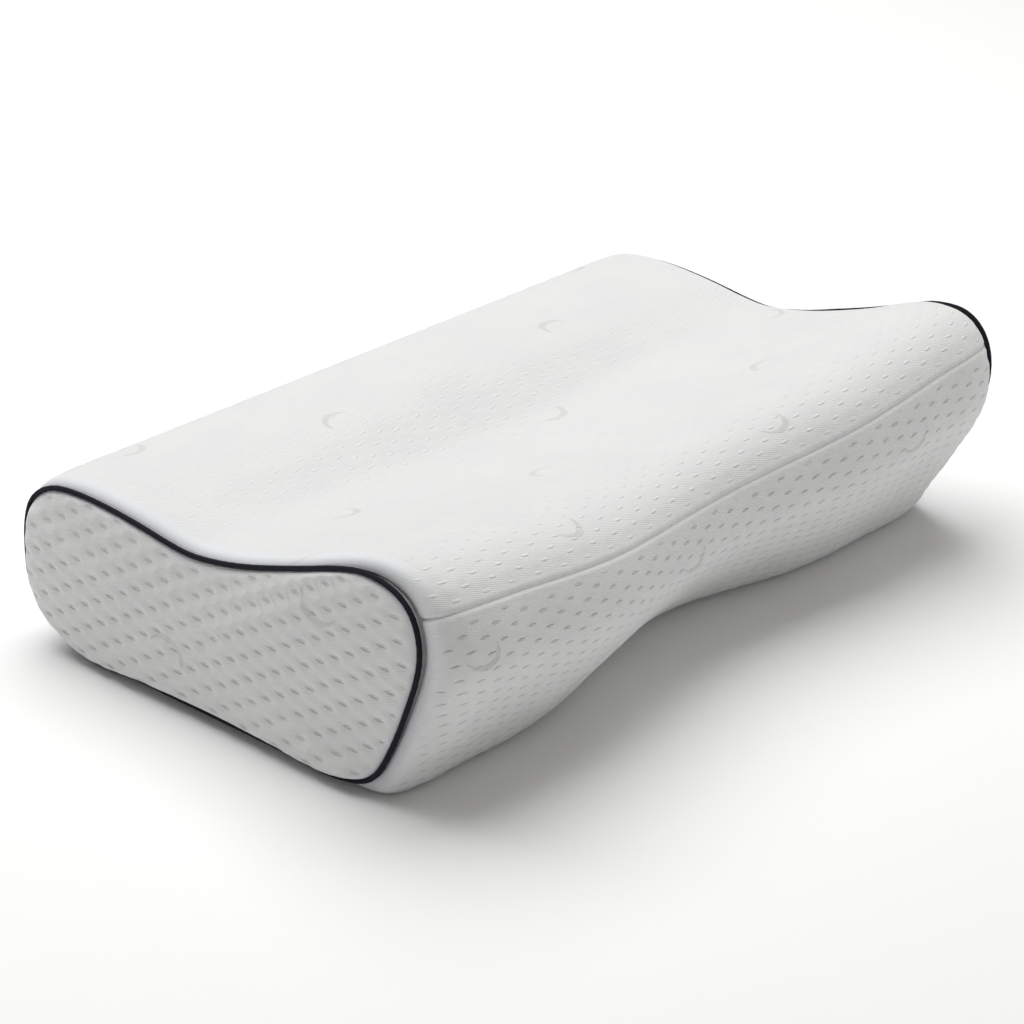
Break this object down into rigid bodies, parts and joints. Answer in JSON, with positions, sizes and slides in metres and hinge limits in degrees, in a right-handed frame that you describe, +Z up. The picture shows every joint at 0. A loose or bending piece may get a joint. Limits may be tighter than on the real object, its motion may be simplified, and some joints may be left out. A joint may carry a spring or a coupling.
{
  "type": "contour pillow",
  "caption": "Contour bed pillow: waved foam core in a liner and a quilted knit cover with a waisted front, flat piped ends and a zip along the back.",
  "frame": {"origin": "middle of the box round the whole pillow, at the flat underside it rests on", "axes": "+X along the length to the right end, +Y from the waisted front to the zip at the back, +Z up"},
  "size_m": [0.5254, 0.3708, 0.1509],
  "materials": {
    "foam": "open-cell moulded foam, matte, off-white",
    "liner_cloth": "thin plain jersey, white",
    "cover_cloth": "white double-knit jacquard with small staggered dimples and pale crescent motifs",
    "piping_cloth": "near-black navy woven bias binding, matte",
    "piping_filler": "twisted cotton filler cord, natural",
    "zip_tape": "white woven zip tape",
    "zip_coil": "white polyester coil",
    "zip_metal": "plated die-cast zip metal"
  },
  "bodies": {
    "root": {"foam_core": "foam", "inner_liner": "liner_cloth", "top_panel": "cover_cloth", "bottom_panel": "cover_cloth", "left_end_panel": "cover_cloth", "right_end_panel": "cover_cloth", "left_zip_end_tab": "cover_cloth", "right_zip_end_tab": "cover_cloth", "left_piping_binding": "piping_cloth", "right_piping_binding": "piping_cloth", "left_piping_cord": "piping_filler", "right_piping_cord": "piping_filler", "zip_tape_upper": "zip_tape", "zip_tape_lower": "zip_tape", "zip_coil_upper": "zip_coil", "zip_coil_lower": "zip_coil", "zip_top_stop_upper": "zip_metal", "zip_top_stop_lower": "zip_metal", "zip_bottom_stop": "zip_metal"},
    "zip_slider": {"zip_slider": "zip_metal"},
    "zip_pull": {"zip_pull_tab": "zip_metal"}
  },
  "joints": [
    {"name": "zip_travel", "type": "slide", "parent": "root", "child": "zip_slider", "axis": [1, 0, 0], "range_m": [-0.4435, 0]},
    {"name": "zip_pull_swing", "type": "hinge", "parent": "zip_slider", "child": "zip_pull", "pos_m": [0.22196, 0.18332, 0.06134], "axis": [0, 0, -1], "range_deg": [0, 170]}
  ]
}
